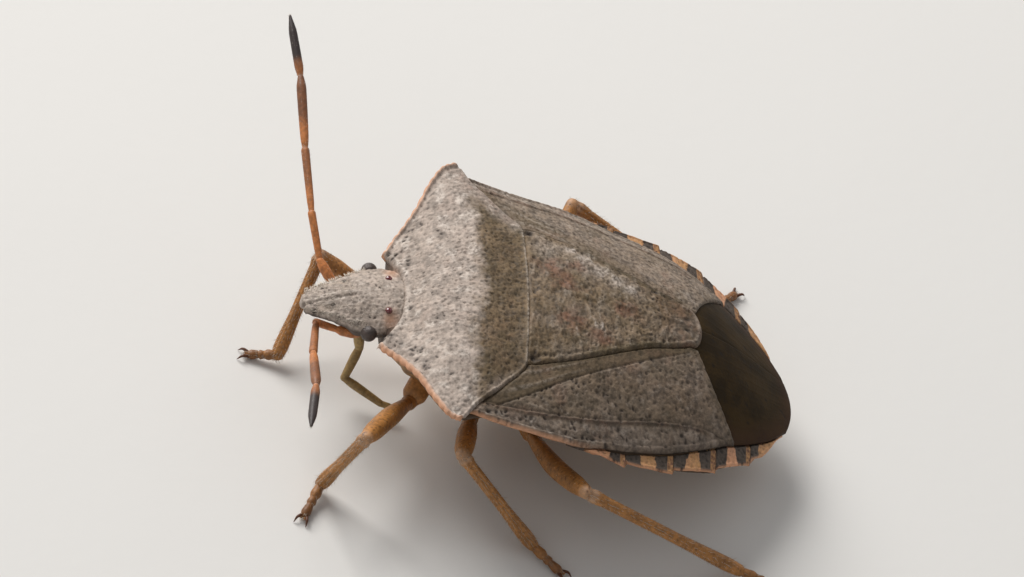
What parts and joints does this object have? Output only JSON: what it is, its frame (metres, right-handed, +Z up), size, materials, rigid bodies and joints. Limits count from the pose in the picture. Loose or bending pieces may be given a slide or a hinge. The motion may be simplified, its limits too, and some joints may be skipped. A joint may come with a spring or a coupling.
{
  "type": "shield bug",
  "caption": "Life-size still model of a shield bug standing on its feet, with broad pointed shoulders, folded wings and jointed antennae.",
  "frame": {"origin": "middle of the whole model's footprint, on the floor that the feet rest on", "axes": "+Z up from the floor, -Y the way the head points, +X to the bug's left"},
  "size_m": [0.0112, 0.012, 0.0045],
  "materials": {
    "shell": "pale grey-brown cuticle with dark pits, matt",
    "wing": "leathery grey-brown forewing with dark pits and veins, matt",
    "membrane": "dark olive-brown wing membrane, satin",
    "underside": "pale orange-brown cuticle of the belly and chest, satin",
    "leg": "orange-brown cuticle with small dark dots, satin",
    "feeler": "orange to dark brown antenna segments with pale rings, satin",
    "beak": "pale olive-yellow beak, satin",
    "eye": "dark brown compound eye, glossy"
  },
  "bodies": {
    "root": {"head": "shell", "pronotum": "shell", "scutellum": "shell", "corium_left": "wing", "corium_right": "wing", "membrane_left": "membrane", "membrane_right": "membrane", "connexivum_left": "wing", "connexivum_right": "wing", "thorax": "underside", "abdomen": "underside", "eye_left": "eye", "eye_right": "eye", "antenna_left": "feeler", "antenna_right": "feeler", "beak": "beak", "leg_fore_left": "leg", "leg_fore_right": "leg", "leg_mid_left": "leg", "leg_mid_right": "leg", "leg_hind_left": "leg", "leg_hind_right": "leg"}
  },
  "joints": []
}
